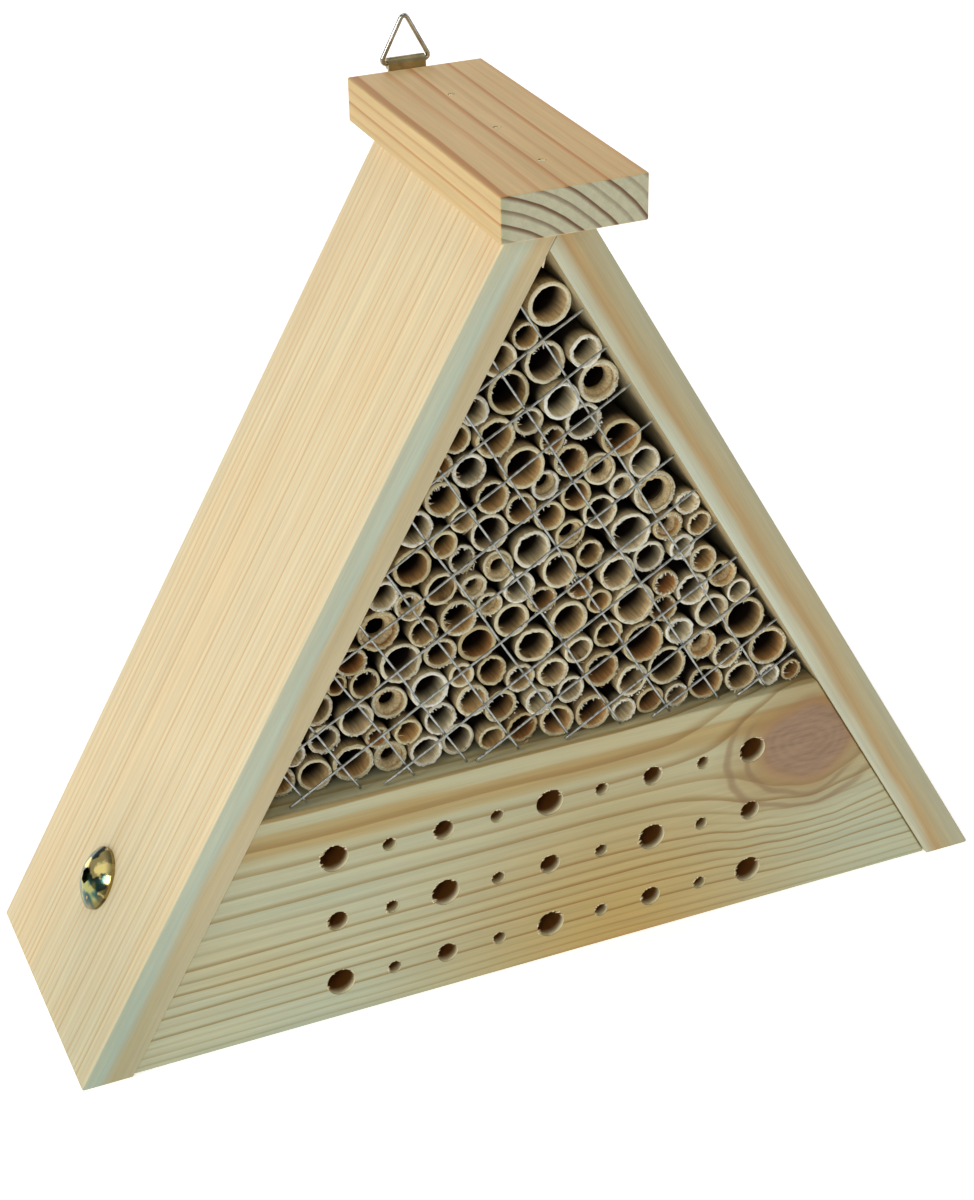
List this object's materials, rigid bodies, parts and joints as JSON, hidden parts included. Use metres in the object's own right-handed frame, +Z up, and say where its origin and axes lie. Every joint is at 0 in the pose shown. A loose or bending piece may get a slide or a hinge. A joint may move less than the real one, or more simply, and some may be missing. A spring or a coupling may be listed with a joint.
{
  "type": "insect hotel",
  "caption": "Triangular wooden insect hotel: reed tubes behind wire mesh over a drilled block, with a flat ridge board and a hanging ring.",
  "frame": {"origin": "middle of the base block's bottom face, on the floor", "axes": "+X right along the base seen from the front, -Y out of the front, +Z up"},
  "size_m": [0.2652, 0.1006, 0.2408],
  "materials": {
    "pine": "planed, untreated",
    "plywood": "sanded, untreated",
    "reed": "natural straw, sawn ends",
    "galvanised_wire": "bright galvanised",
    "yellow_zinc": "yellow zinc plate, shiny",
    "steel": "bright",
    "hanger_plate_brass": "dull brass plate",
    "nickel": "nickel plated"
  },
  "bodies": {
    "hotel": {"left_roof_board": "pine", "right_roof_board": "pine", "ridge_board": "pine", "base_block": "pine", "back_panel": "plywood", "mesh_rising_wires": "galvanised_wire", "mesh_falling_wires": "galvanised_wire", "reed_row_01": "reed", "reed_row_02": "reed", "reed_row_03": "reed", "reed_row_04": "reed", "reed_row_05": "reed", "reed_row_06": "reed", "reed_row_07": "reed", "reed_row_08": "reed", "reed_row_09": "reed", "reed_row_10": "reed", "reed_row_11": "reed", "reed_row_12": "reed", "reed_row_13": "reed", "reed_row_14": "reed", "left_connector_bolt": "yellow_zinc", "left_insert_nut": "steel", "right_connector_bolt": "yellow_zinc", "right_insert_nut": "steel", "ridge_nail_back": "steel", "ridge_nail_middle": "steel", "ridge_nail_front": "steel", "apex_nail_front": "steel", "apex_nail_back": "steel", "panel_pin_left_1": "steel", "panel_pin_left_2": "steel", "panel_pin_left_3": "steel", "panel_pin_right_1": "steel", "panel_pin_right_2": "steel", "panel_pin_right_3": "steel", "panel_pin_bottom_1": "steel", "panel_pin_bottom_2": "steel", "panel_pin_bottom_3": "steel", "hanger_plate": "hanger_plate_brass", "hanger_nail_upper": "steel", "hanger_nail_lower": "steel"},
    "hanger_ring": {"hanger_ring": "nickel"}
  },
  "joints": [
    {"name": "ring_swing", "type": "hinge", "parent": "hotel", "child": "hanger_ring", "pos_m": [-0.002, 0.04296, 0.2285], "axis": [1, 0, 0], "range_deg": [-175, 90]}
  ]
}
